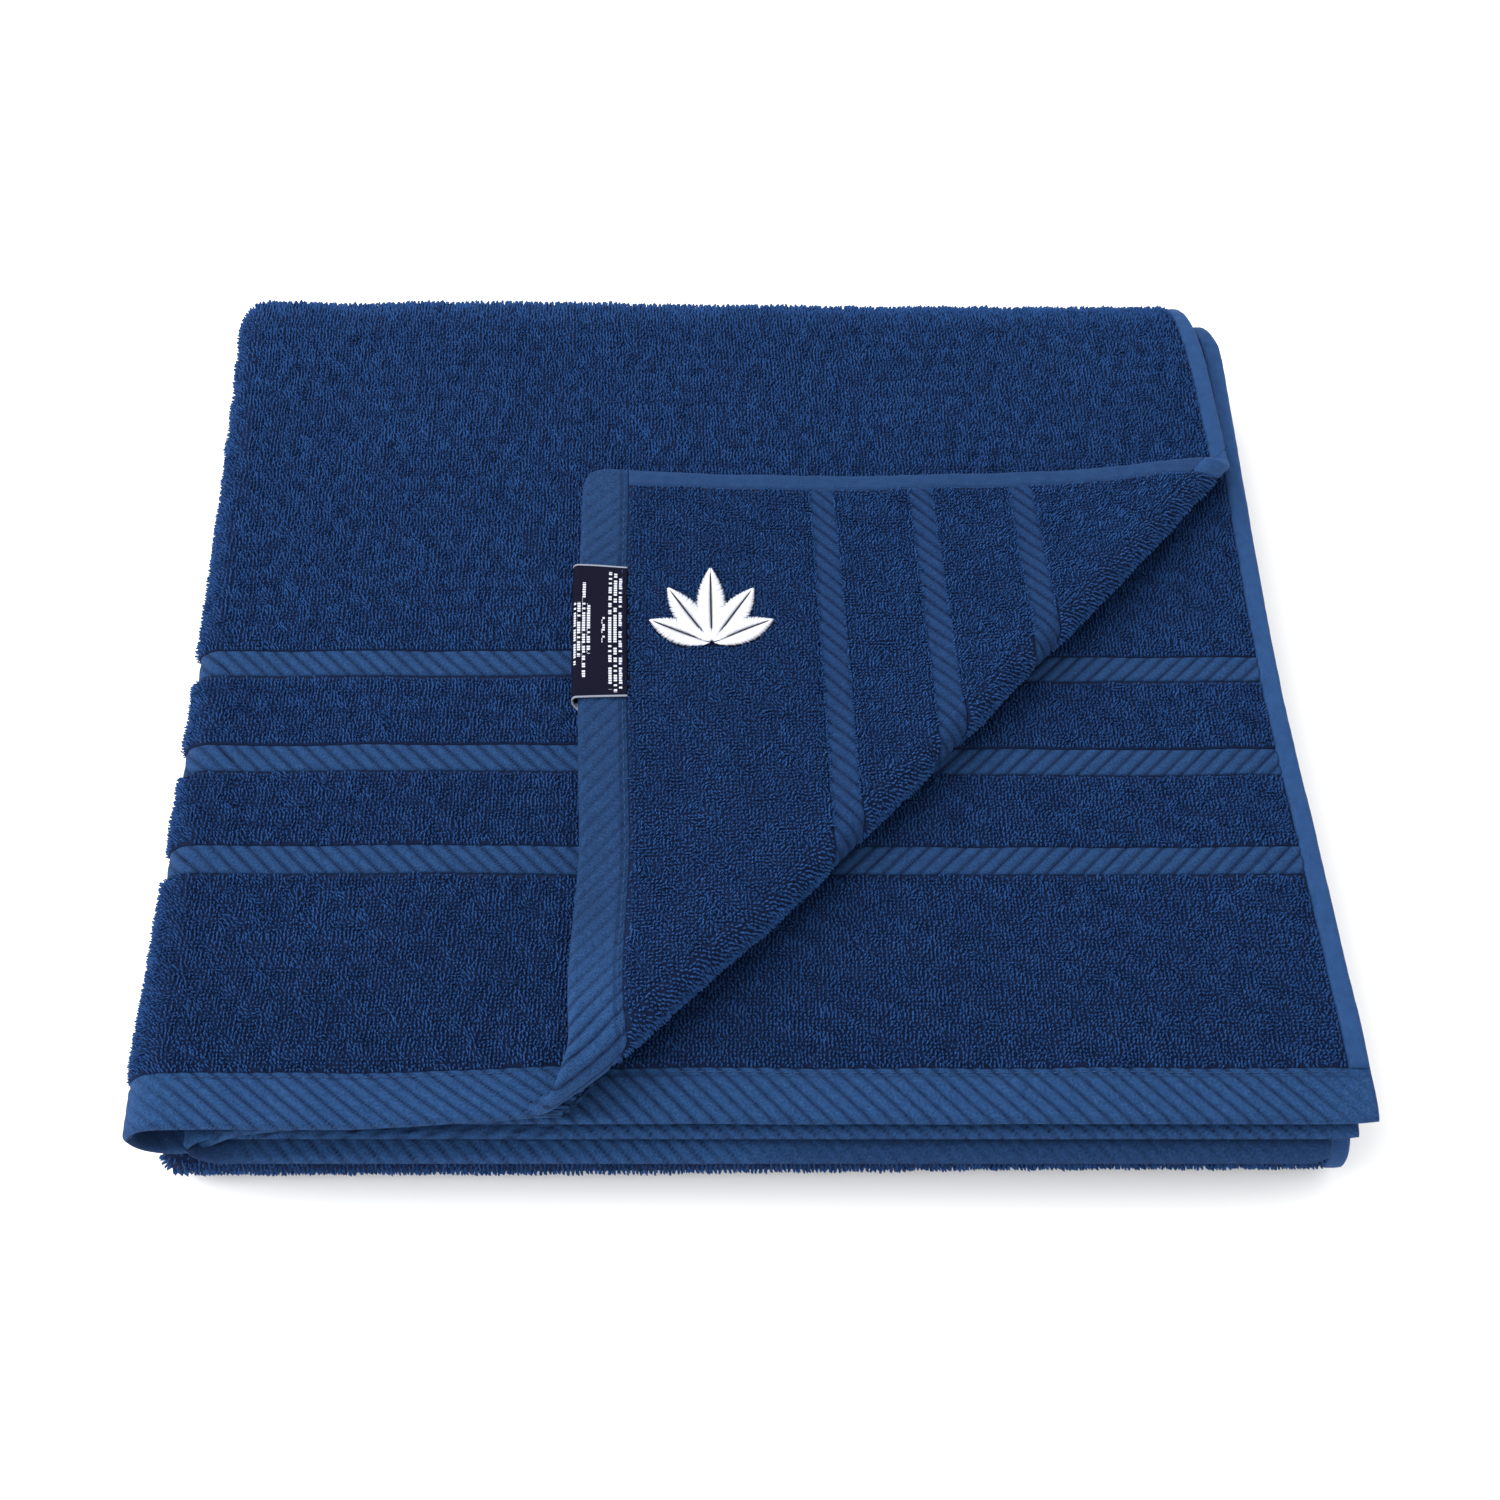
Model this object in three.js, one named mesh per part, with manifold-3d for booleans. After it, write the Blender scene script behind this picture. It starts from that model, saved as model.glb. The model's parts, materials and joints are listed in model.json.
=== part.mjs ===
// A cotton terry bath towel, folded for the shelf: doubled along its length, then folded across twice with the middle
// tucked under, so that eight plies lie on each other. The front right corner of the top ply is turned back over a
// diagonal crease. All sizes are in millimetres. The folded towel stands on Z = 0 with its end hems at the front (-Y)
// and its long crease at the left (-X).
import * as THREE from "three";
import { mergeVertices } from "three/addons/utils/BufferGeometryUtils.js";
import Module from "manifold-3d";

// The towel as woven and hemmed.
const towelWidth = 762;
const towelLength = 1372;
const endHem = 17; // finished width of the hem at each short end
const sideHem = 7; // finished width of the hem along each long side
const bandWidth = 11; // a flat woven band
const firstBand = 89; // end edge to the middle of the first band
const bandSpacing = 38.5;
const bandCount = 3;

// The towel as folded.
const plyPitch = 7.1; // from one ply to the next
const plyGap = 0.5;
const plies = 8;
const outOfSquare = 1.92; // degrees that the sides lean to the left of square with the front
const foldAllowance = 4.5; // what the round folds add to a quarter of the length
const underFoldInset = 3; // how far the tucked fold stays behind the hems

// The turned-back corner.
const cornerLeg = 245; // from the corner to each end of the crease, along the edges
const cornerGap = 1.6; // between the top ply and the corner that lies on it
const creaseSetback = 2.5; // how far the cloth stops short of the crease on each side
const cornerOpens = 174; // degrees

// What is sewn on.
const seamInset = 1.6; // the seam's middle, from the inner edge of a hem
const seamWidth = 0.9;
const seamHeight = 0.5;
const seamFromCrease = 20; // where a seam starts, along the hem from the crease
const seamFromLeft = 14.2; // and from the round fold at the left
const labelLength = 55;
const labelFromCorner = 69.5; // the corner's tip to the middle of the label
const labelThickness = 0.6;
const motifWidth = 43;
const motifHeight = 32;
const motifThickness = 1;
const motifPetals = 5;
const motifPetalSpread = 66; // degrees from the upright petal to the outermost one
const petalSlimness = 0.3; // a petal's curve stands off its middle by this share of the motif's height
const petalBelly = 0.5; // and is widest at this share of the petal's length
const motifFromHem = 46.5; // the end edge to the middle of the motif, across the corner
const motifFromSide = 59; // the side edge to the middle of the motif

// The room that touching pieces keep, and how finely the round folds are cut.
const fit = 0.3;
const arcSteps = 14;

// Worked out from the sizes above.
const ply = plyPitch - plyGap;
const foldedWidth = towelWidth / 2;
const foldedDepth = towelLength / 4 + foldAllowance;
const stackHeight = plies * plyPitch - plyGap;
const left = -foldedWidth / 2;
const right = foldedWidth / 2;
const front = -foldedDepth / 2;
const back = foldedDepth / 2;
const creaseX = right - cornerLeg; // where the crease meets the front edge
const cornerBottom = stackHeight + cornerGap;
const cornerTop = cornerBottom + ply;

const wasm = await Module();
wasm.setup();

// The height of a ply's middle. Ply 1 is on top.
function middleOf(number) {
  return (plies - number) * plyPitch + ply / 2;
}

// Extrusions: an outline seen from above goes up, one seen from the front goes back, and one seen from the side goes
// across.
function extruded(shape, length) {
  return new THREE.ExtrudeGeometry(shape, { depth: length, bevelEnabled: false, curveSegments: arcSteps });
}

function upwards(shape, low, high) {
  return extruded(shape, high - low).translate(0, 0, low);
}

function backwards(shape, from, to) {
  return extruded(shape, to - from).rotateX(Math.PI / 2).translate(0, to, 0);
}

function across(shape, from, to) {
  const turn = new THREE.Matrix4().set(0, 0, 1, 0, 1, 0, 0, 0, 0, 1, 0, 0, 0, 0, 0, 1);
  return extruded(shape, to - from).applyMatrix4(turn).translate(from, 0, 0);
}

function outline(...points) {
  return new THREE.Shape(points.map(([x, y]) => new THREE.Vector2(x, y)));
}

function rectangle(x0, x1, y0, y1) {
  return outline([x0, y0], [x1, y0], [x1, y1], [x0, y1]);
}

// Solids for cutting and joining.
function solid(geometry) {
  const bare = geometry.clone();
  bare.deleteAttribute("normal");
  bare.deleteAttribute("uv");
  const merged = mergeVertices(bare, 1e-4);
  return new wasm.Manifold(
    new wasm.Mesh({
      numProp: 3,
      vertProperties: merged.attributes.position.array,
      triVerts: new Uint32Array(merged.index.array),
    }),
  );
}

function geometryOf(manifold) {
  const mesh = manifold.getMesh();
  const geometry = new THREE.BufferGeometry();
  geometry.setAttribute("position", new THREE.BufferAttribute(mesh.vertProperties, mesh.numProp));
  geometry.setIndex(new THREE.BufferAttribute(mesh.triVerts, 1));
  geometry.computeVertexNormals();
  return geometry;
}

// The corner as it lay before it was turned back, and as it lies now: the same triangle on either side of the crease.
function flatCorner(low, high) {
  const reach = cornerLeg + foldedWidth;
  const slip = creaseSetback * Math.SQRT2;
  return upwards(
    outline([creaseX - slip, front], [creaseX - slip, front - plyPitch], [creaseX + reach, front - plyPitch],
      [creaseX + reach, front + reach + slip]),
    low,
    high,
  );
}

function turnedCorner(low, high) {
  const slip = creaseSetback * Math.SQRT2;
  return upwards(
    outline([creaseX, front + slip], [creaseX + cornerLeg - slip, front + cornerLeg], [creaseX, front + cornerLeg]),
    low,
    high,
  );
}

// The side view of cloth folded twice across: from the top it goes round the back to the bottom, turns up at the front,
// and turns up again inside the back. runs are the heights of its middle from one stretch to the next.
function twiceFolded(runs, thickness, topFront, innerFront) {
  const half = thickness / 2;
  const quarter = Math.PI / 2;
  const backCentre = back - stackHeight / 2;
  const frontCentre = front + underFoldInset + 2 * plyPitch;
  const [outer, under, inner] = [0, 1, 2].map((i) => ({
    height: (runs[i] + runs[i + 1]) / 2,
    radius: Math.abs(runs[i] - runs[i + 1]) / 2,
  }));
  const shape = new THREE.Shape();
  shape.moveTo(topFront, runs[0] + half);
  shape.absarc(backCentre, outer.height, outer.radius + half, quarter, -quarter, true);
  shape.absarc(frontCentre, under.height, under.radius + half, -quarter, quarter, true);
  shape.absarc(backCentre, inner.height, inner.radius - half, -quarter, quarter, false);
  shape.lineTo(innerFront, runs[3] - half);
  shape.lineTo(innerFront, runs[3] + half);
  shape.absarc(backCentre, inner.height, inner.radius + half, quarter, -quarter, true);
  shape.absarc(frontCentre, under.height, under.radius - half, quarter, -quarter, false);
  shape.absarc(backCentre, outer.height, outer.radius - half, -quarter, quarter, false);
  shape.lineTo(topFront, runs[0] - half);
  shape.closePath();
  return shape;
}

// The front view of two plies joined by the long crease at the left.
function doubled(upper, rightEnd) {
  const round = plyPitch - plyGap / 2;
  const middle = (middleOf(upper) + middleOf(upper + 1)) / 2;
  const quarter = Math.PI / 2;
  const shape = new THREE.Shape();
  shape.moveTo(rightEnd, middle + round);
  shape.absarc(left + round, middle, round, quarter, 3 * quarter, false);
  shape.lineTo(rightEnd, middle - round);
  shape.lineTo(rightEnd, middle - plyGap / 2);
  shape.absarc(left + round, middle, plyGap / 2, 3 * quarter, quarter, true);
  shape.lineTo(rightEnd, middle + plyGap / 2);
  shape.closePath();
  return shape;
}

// The zones of a towel end, as distances from its edge: hem, then pile and flat bands by turns.
function endZones() {
  const zones = [{ name: "end_hem", from: 0, to: endHem, kind: "hem" }];
  let reached = endHem;
  for (let i = 0; i < bandCount; i += 1) {
    const start = firstBand + i * bandSpacing - bandWidth / 2;
    zones.push({ name: `pile_strip_${i + 1}`, from: reached, to: start, kind: "terry" });
    zones.push({ name: `flat_band_${i + 1}`, from: start, to: start + bandWidth, kind: "band" });
    reached = start + bandWidth;
  }
  return zones;
}

const zones = endZones();
const fieldStart = zones[zones.length - 1].to;

// Materials.
const colours = {
  terry: { color: 0x1b345c, roughness: 0.95, metalness: 0 },
  band: { color: 0x294875, roughness: 0.85, metalness: 0 },
  hem: { color: 0x2c4e80, roughness: 0.8, metalness: 0 },
  thread: { color: 0x365a8f, roughness: 0.7, metalness: 0 },
  label: { color: 0x17172e, roughness: 0.6, metalness: 0 },
  motif: { color: 0xeceaea, roughness: 0.55, metalness: 0 },
};
const materials = Object.fromEntries(
  Object.entries(colours).map(([name, values]) => [name, new THREE.MeshStandardMaterial(values)]),
);

// The sides of the folded towel lean a little, so every shape made square above is slanted once, here.
const lean = THREE.MathUtils.degToRad(outOfSquare);
const slant = new THREE.Matrix4().set(
  1, -Math.sin(lean), 0, 0,
  0, Math.cos(lean), 0, 0,
  0, 0, 1, 0,
  0, 0, 0, 1,
);

const stack = new THREE.Group();
const corner = new THREE.Group();

function add(group, name, geometry, finish) {
  const mesh = new THREE.Mesh(geometry.applyMatrix4(slant), materials[finish]);
  mesh.name = name;
  group.add(mesh);
}

// The pile field, in two plies together, with the turned corner cut out of its top ply.
function terryField() {
  const runs = [1, 7, 5, 3].map((upper) => (middleOf(upper) + middleOf(upper + 1)) / 2);
  const start = front + fieldStart + fit;
  const cloth = across(twiceFolded(runs, 2 * ply + plyGap, start, start), left, right - sideHem - fit);
  const cut = flatCorner(stackHeight - plyPitch, stackHeight + plyPitch);
  return geometryOf(solid(cloth).subtract(solid(cut)));
}

// A side hem follows its own ply all the way round.
function sideHemRibbon(pliesPassed, topFront, innerFront) {
  return across(twiceFolded(pliesPassed.map(middleOf), ply, topFront, innerFront), right - sideHem, right);
}

add(stack, "terry_field", terryField(), "terry");
const hemInside = front + endHem + fit;
const creaseSide = front + cornerLeg + creaseSetback * Math.SQRT2;
add(stack, "side_hem_outer", sideHemRibbon([1, 8, 5, 4], creaseSide, hemInside), "hem");
add(stack, "side_hem_inner", sideHemRibbon([2, 7, 6, 3], hemInside, hemInside), "hem");

// The two ends of the towel, each doubled at the long crease: plies 1 and 2 above, plies 3 and 4 below.
function endZone(zone, upper) {
  const rightEnd = zone.kind === "hem" ? right : right - sideHem - fit;
  const start = front + zone.from + (zone.from > 0 ? fit : 0);
  return backwards(doubled(upper, rightEnd), start, front + zone.to);
}

for (const zone of zones) {
  const whole = solid(endZone(zone, 1));
  const cut = solid(flatCorner(stackHeight - plyPitch, stackHeight + plyPitch));
  add(stack, `${zone.name}_upper`, geometryOf(whole.subtract(cut)), zone.kind);
  add(stack, `${zone.name}_lower`, endZone(zone, 3), zone.kind);
}

// The same zones on the turned-back corner, where they run front to back.
function cornerZone(from, to, sideLimit) {
  const strip = upwards(
    rectangle(creaseX + from + (from > 0 ? fit : 0), creaseX + to, front, front + sideLimit),
    cornerBottom,
    cornerTop,
  );
  return geometryOf(solid(strip).intersect(solid(turnedCorner(cornerBottom - plyPitch, cornerTop + plyPitch))));
}

const sideLimit = cornerLeg - sideHem - fit;
for (const zone of zones) {
  const limit = zone.kind === "hem" ? cornerLeg : sideLimit;
  add(corner, `corner_${zone.name}`, cornerZone(zone.from, zone.to, limit), zone.kind);
}
add(corner, "corner_terry_field", cornerZone(fieldStart, cornerLeg, sideLimit), "terry");

function cornerSideHem() {
  const strip = upwards(
    rectangle(creaseX + endHem + fit, creaseX + cornerLeg, front + cornerLeg - sideHem, front + cornerLeg),
    cornerBottom,
    cornerTop,
  );
  return geometryOf(solid(strip).intersect(solid(turnedCorner(cornerBottom - plyPitch, cornerTop + plyPitch))));
}
add(corner, "corner_side_hem", cornerSideHem(), "hem");

// Sewing thread along the hems, where it can be seen.
const seamLine = endHem - seamInset;
const seamNear = seamLine - seamWidth / 2;
const seamFar = seamLine + seamWidth / 2;
function bead(plan, surface) {
  return upwards(plan, surface + fit, surface + fit + seamHeight);
}

const labelMiddle = front + cornerLeg - labelFromCorner;
const labelFront = labelMiddle - labelLength / 2;
const labelBack = labelMiddle + labelLength / 2;
const cornerSeam = {
  front: front + seamLine + seamFromCrease,
  back: front + cornerLeg - sideHem,
};

add(
  stack,
  "end_hem_seam_left",
  bead(rectangle(left + seamFromLeft, creaseX, front + seamNear, front + seamFar), stackHeight),
  "thread",
);
add(
  stack,
  "end_hem_seam_right",
  bead(
    rectangle(creaseX + seamLine + seamFromCrease, right - sideHem, front + seamNear, front + seamFar),
    stackHeight - plyPitch,
  ),
  "thread",
);
add(
  corner,
  "corner_hem_seam_front",
  bead(rectangle(creaseX + seamNear, creaseX + seamFar, cornerSeam.front, labelFront - fit), cornerTop),
  "thread",
);
add(
  corner,
  "corner_hem_seam_back",
  bead(rectangle(creaseX + seamNear, creaseX + seamFar, labelBack + fit, cornerSeam.back), cornerTop),
  "thread",
);

// The label is folded round the hem's edge, with one leaf on top and one below, and a seam of its own.
function label() {
  const [low, high] = [cornerBottom - fit, cornerTop + fit];
  const [edge, inner] = [creaseX - fit, creaseX + endHem];
  const skin = labelThickness;
  return backwards(
    outline([inner, low - skin], [inner, low], [edge, low], [edge, high], [inner, high], [inner, high + skin],
      [edge - skin, high + skin], [edge - skin, low - skin]),
    labelFront,
    labelBack,
  );
}
add(corner, "care_label", label(), "label");
add(
  corner,
  "label_seam",
  bead(
    rectangle(creaseX + seamNear, creaseX + seamFar, labelFront + fit, labelBack - fit),
    cornerTop + fit + labelThickness,
  ),
  "thread",
);

// The embroidered motif: a fan of pointed petals that share one root.
function petal(length, width, turn) {
  const shape = new THREE.Shape();
  shape.moveTo(0, 0);
  shape.quadraticCurveTo(width, length * petalBelly, 0, length);
  shape.quadraticCurveTo(-width, length * petalBelly, 0, 0);
  return solid(upwards(shape, 0, motifThickness).rotateZ(turn));
}

function motif() {
  const spread = THREE.MathUtils.degToRad(motifPetalSpread);
  const side = motifWidth / 2 / Math.sin(spread);
  const halfCount = (motifPetals - 1) / 2;
  let fan = null;
  for (let i = -halfCount; i <= halfCount; i += 1) {
    const share = Math.abs(i) / halfCount;
    const length = motifHeight + (side - motifHeight) * share;
    const leaf = petal(length, motifHeight * petalSlimness, (-i / halfCount) * spread);
    fan = fan ? fan.add(leaf) : leaf;
  }
  const middleX = creaseX + motifFromHem;
  const rootY = front + cornerLeg - motifFromSide - motifHeight / 2;
  return geometryOf(fan).translate(middleX, rootY, cornerTop + fit);
}
add(corner, "embroidered_motif", motif(), "motif");

// The corner turns on the crease line, half-way between the top ply and the corner that lies on it.
const hinge = new THREE.Vector3(creaseX, front, stackHeight + cornerGap / 2).applyMatrix4(slant);
const hingeAxis = new THREE.Vector3(1, 1, 0).applyMatrix4(slant).normalize();
corner.userData.joint = { position: hinge.toArray(), axis: hingeAxis.toArray(), degrees: [0, cornerOpens] };

const towel = new THREE.Group();
towel.add(stack, corner);

export default towel;
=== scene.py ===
"""A cotton terry bath towel folded for the shelf, with the front right corner of its top ply turned back.

The flat towel is one surface with two distances: across, from the right-hand edge of the top ply round the long crease
to the other side, and along, from the end that lies on top to the other end. towel() folds that surface. Every piece is
a stretch of it, so hems, bands, loops, seams and label all lie where the folded cloth takes them. Shapes are worked out
in millimetres and made in metres.
"""
import json
import math

import bpy
import numpy as np
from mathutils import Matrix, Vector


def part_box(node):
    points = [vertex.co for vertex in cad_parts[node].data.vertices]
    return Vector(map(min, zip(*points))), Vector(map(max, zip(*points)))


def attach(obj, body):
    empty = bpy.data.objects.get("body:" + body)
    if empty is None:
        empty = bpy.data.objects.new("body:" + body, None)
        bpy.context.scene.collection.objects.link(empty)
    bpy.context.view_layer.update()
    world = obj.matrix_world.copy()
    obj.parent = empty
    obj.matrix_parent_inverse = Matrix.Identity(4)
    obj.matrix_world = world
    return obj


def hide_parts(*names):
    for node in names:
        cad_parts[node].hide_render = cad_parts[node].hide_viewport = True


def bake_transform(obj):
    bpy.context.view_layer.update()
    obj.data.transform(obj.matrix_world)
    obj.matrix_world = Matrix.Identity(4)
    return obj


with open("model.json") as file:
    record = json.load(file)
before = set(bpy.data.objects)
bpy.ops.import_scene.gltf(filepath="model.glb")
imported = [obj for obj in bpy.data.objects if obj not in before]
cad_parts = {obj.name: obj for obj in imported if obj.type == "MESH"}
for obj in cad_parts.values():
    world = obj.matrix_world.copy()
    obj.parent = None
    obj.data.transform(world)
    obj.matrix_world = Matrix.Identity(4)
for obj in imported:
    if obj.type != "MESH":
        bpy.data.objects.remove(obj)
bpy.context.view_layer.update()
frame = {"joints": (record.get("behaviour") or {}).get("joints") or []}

# Camera, light and floor. A high camera in front of the towel looks down on it, under one broad soft lamp and an even
# white surround, on a plain white floor.
CAMERA_AT = (0.005, -0.3459, 0.6247)
CAMERA_DOWN = 57.3
CAMERA_LENS = 45.24
CAMERA_RISE = -0.1
LAMP_AT = (-1.05, 0.25, 1.4)
LAMP_SIZE = 1.8
LAMP_POWER = 42
SURROUND = 1.2
FLOOR_SIDE = 12

scene = bpy.context.scene
scene.view_settings.view_transform = "Standard"
camera = bpy.data.objects.new("camera", bpy.data.cameras.new("camera"))
camera.data.lens = CAMERA_LENS
camera.data.shift_y = CAMERA_RISE
camera.location = CAMERA_AT
camera.rotation_euler = (math.radians(90 - CAMERA_DOWN), 0, 0)
scene.collection.objects.link(camera)
scene.camera = camera

lamp = bpy.data.objects.new("lamp", bpy.data.lights.new("lamp", "AREA"))
lamp.data.size = LAMP_SIZE
lamp.data.energy = LAMP_POWER
lamp.location = LAMP_AT
lamp.rotation_mode = "QUATERNION"
lamp.rotation_quaternion = (-lamp.location).to_track_quat("-Z", "Y")
scene.collection.objects.link(lamp)

scene.world = bpy.data.worlds.new("surround")
scene.world.use_nodes = True
surround = scene.world.node_tree.nodes["Background"]
surround.inputs["Color"].default_value = (1, 1, 1, 1)
surround.inputs["Strength"].default_value = SURROUND


class Wire:
    """A shader socket that takes part in plain arithmetic: each operator adds one Math node."""

    def __init__(self, finish, socket):
        self.finish, self.socket = finish, socket

    def maths(self, operation, *others):
        """One Math node on this socket and the others, in that order."""
        return self.finish.node("ShaderNodeMath", {"operation": operation}, [self, *others])

    def __add__(self, other):
        return self.maths("ADD", other)

    def __sub__(self, other):
        return self.maths("SUBTRACT", other)

    def __rsub__(self, other):
        return self.finish.node("ShaderNodeMath", {"operation": "SUBTRACT"}, [other, self])

    def __mul__(self, other):
        return self.maths("MULTIPLY", other)

    def __gt__(self, other):
        return self.maths("GREATER_THAN", other)

    __radd__, __rmul__ = __add__, __mul__

    def wave(self, length):
        """A sine between 0 and 1 that repeats at each length."""
        return (self * (2 * math.pi / length)).maths("SINE") * 0.5 + 0.5

    def within(self, low, high):
        """1 between two values and 0 outside them."""
        return (self > low) * (1 - (self > high))


class Finish:
    """A material whose nodes are added one call at a time."""

    def __init__(self, name, **constants):
        self.material = bpy.data.materials.new(name)
        self.material.use_nodes = True
        self.tree = self.material.node_tree
        self.surface = self.tree.nodes["Principled BSDF"]
        for socket, value in constants.items():
            self.surface.inputs[socket.replace("_", " ")].default_value = value

    def node(self, kind, settings=None, inputs=None, output=0):
        """Adds a node of a type: first its settings, then its inputs by name or in order. Returns one output."""
        made = self.tree.nodes.new(kind)
        for name, value in (settings or {}).items():
            setattr(made, name, value)
        pairs = inputs.items() if isinstance(inputs, dict) else enumerate(inputs or [])
        for name, value in pairs:
            self.join(made.inputs[name], value)
        return Wire(self, made.outputs[output])

    def join(self, socket, value):
        if isinstance(value, Wire):
            self.tree.links.new(value.socket, socket)
        else:
            socket.default_value = value

    def mix(self, factor, first, second):
        """A colour between two colours, each the end of a wire or a plain colour on a scale of 255."""
        first, second = (c if isinstance(c, Wire) else (*linear(*c), 1) for c in (first, second))
        return self.node("ShaderNodeMix", {"data_type": "RGBA"}, {0: factor, 6: first, 7: second}, output=2)

    def noise(self, where, scale):
        """A soft random value about 0.5, with as many swells to a metre as its scale says."""
        return self.node("ShaderNodeTexNoise", None, {"Vector": where, "Scale": scale, "Detail": 2.0})

    def place(self):
        """The place on the object, in metres."""
        return self.node("ShaderNodeTexCoord", output=3)

    def cloth(self):
        """The place on the flat towel from the piece's own map: across and along, in metres."""
        flat = self.node("ShaderNodeUVMap", {"uv_map": "cloth"})
        return [self.node("ShaderNodeSeparateXYZ", None, [flat], output=axis) for axis in (0, 1)]

    def finish(self, colour, height=None, strength=0.5, distance=0.0004):
        """Joins the colour to the shader, and a height through a Bump node. Returns the material."""
        self.join(self.surface.inputs["Base Color"], colour)
        if height is not None:
            bump = {"Strength": strength, "Distance": distance, "Height": height}
            self.join(self.surface.inputs["Normal"], self.node("ShaderNodeBump", None, bump))
        return self.material


def linear(red, green, blue):
    """A colour given on a scale of 255, as linear light."""
    share = np.array([red, green, blue]) / 255
    return tuple(np.where(share <= 0.04045, share / 12.92, ((share + 0.055) / 1.055) ** 2.4).tolist())


paper = Finish("floor_paper", Roughness=0.7)
bpy.ops.mesh.primitive_plane_add(size=FLOOR_SIDE)
floor = bpy.context.object
floor.name = "floor"
paper_shade = paper.mix(paper.noise(paper.place(), 3.0), (251, 251, 251), (253, 253, 253))
floor.data.materials.append(paper.finish(paper_shade))

# Terry field: the plain middle of the towel, a woven cotton ground. The whole towel is doubled at the long crease on
# the left, then folded twice across: its middle line goes back on top, round the back, forward on the floor, up in
# front and back again, and round once more inside and forward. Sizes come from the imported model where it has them.
MM = 0.001


def box(node):
    return [np.array(corner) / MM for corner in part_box(node)]


PLIES = 8
PLY_GAP = 0.5
crease_line = frame["joints"][0]
LEAN = 2 * math.atan2(crease_line["axis"][1], crease_line["axis"][0]) - math.pi / 2
STACK = box("terry_field")[1][2]
BACK = box("terry_field")[1][1] / math.cos(LEAN)
FRONT = -BACK
PLY = (STACK + PLY_GAP) / PLIES
CORNER_LEG = box("corner_end_hem")[1][1] / math.cos(LEAN) - FRONT
CREASE_X = (crease_line["pos_m"][0] + crease_line["pos_m"][1] * math.tan(LEAN)) / MM
TOWEL_WIDE, TOWEL_LONG = 762.0, 1372.0
HALF_WIDE = TOWEL_WIDE / 2
END_HEM, SIDE_HEM, BAND = 17.0, 7.0, 11.0
FIRST_BAND, BAND_STEP = 89.0, 38.5
BAND_STARTS = [FIRST_BAND + i * BAND_STEP - BAND / 2 for i in range(3)]
FIELD_START = BAND_STARTS[-1] + BAND
HALF_PLY = PLY / 2
GROUND = 1.5

# The turned corner's crease: how far the corner's cloth reaches along the edges, the radius of the roll over the
# crease, how far the crease bows towards the corner and splays at its back end, and how it stands up at its front end.
CORNER_REACH = CORNER_LEG + 32
CREASE_ROLL = 5.2
CREASE_BOW = 5.0
CREASE_SPLAY = 3.6
CREASE_LIFT, LIFT_MIDDLE, LIFT_WIDE, LIFT_ALONG, LIFT_BACK = 4.5, 6, 34, 75, 0.6

# The middle line's four level runs, on top, on the floor, above that and inside, and the half circles between them.
RUNS = [STACK + 0.25 - PLY, PLY - 0.25, 3 * PLY - 0.25, 5 * PLY - 0.25]
TURNS = [abs(a - b) / 2 for a, b in zip(RUNS, RUNS[1:])]
BACK_CENTRE = BACK - STACK / 2
UNDER_CENTRE = FRONT + 1.2 + 2 * PLY
RUN_STARTS = [FRONT, BACK_CENTRE, UNDER_CENTRE, BACK_CENTRE]
RUN_LENGTHS = [BACK_CENTRE - FRONT, BACK_CENTRE - UNDER_CENTRE, BACK_CENTRE - UNDER_CENTRE, BACK_CENTRE - FRONT]
STRETCHES = [length for pair in zip(RUN_LENGTHS, [math.pi * radius for radius in TURNS] + [0]) for length in pair][:7]
REACHED = np.concatenate([[0], np.cumsum(STRETCHES)])
MIDDLE_LENGTH = REACHED[-1]

# Near the first end and then at the start and end of each run: the long crease, the two edges on the right, how deep
# the crease's round is, and how far the inner ply droops. Then how far each ply's ends stand back and drop.
MARKS = [0, 25, 60, 155, 230, *REACHED[1:]]
CREASES = [-195.0, -193.8, -191.8, -189.9, -189.8, -190.8, -190.8, -189.5, -188.0, -187.0, -182.0, -177.0]
OUTER_EDGES = [190.4, 190.2, 189.9, 189.2, 188.6, 188.0, 190.0, 191.0, 192.0, 189.0, 184.0, 183.5]
INNER_EDGES = [195.8, 195.1, 194.4, 192.3, 194.1, 197.6, 194.0, 190.0, 190.0, 191.0, 193.0, 190.7]
ROUNDS = [13.0, 12.0, 11.4, 9.4, 8.8, 8.0, 5.0, 4.5, 4.5, 4.5, 4.5, 5.0]
DROOPS = [15.0, 13.5, 11.0, 7.4, 6.2, 5.0, 1.0, 0.0, 0.0, 0.0, 0.0, 0.0]
DROOP_REACH = 26.0
TURN_TUCK = 6.0
FIRST_END_BACK = (3.8, 7.3)
FIRST_END_SLOPE = 1.4
LAST_END_BACK = (-1.6, 4.5)
FIRST_END_DROP = (4.2, 2.6)
LAST_END_DROP = (0.0, 1.8)
DROP_REACH = 34
END_REACH = 300
EVEN_FROM = 330

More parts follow.
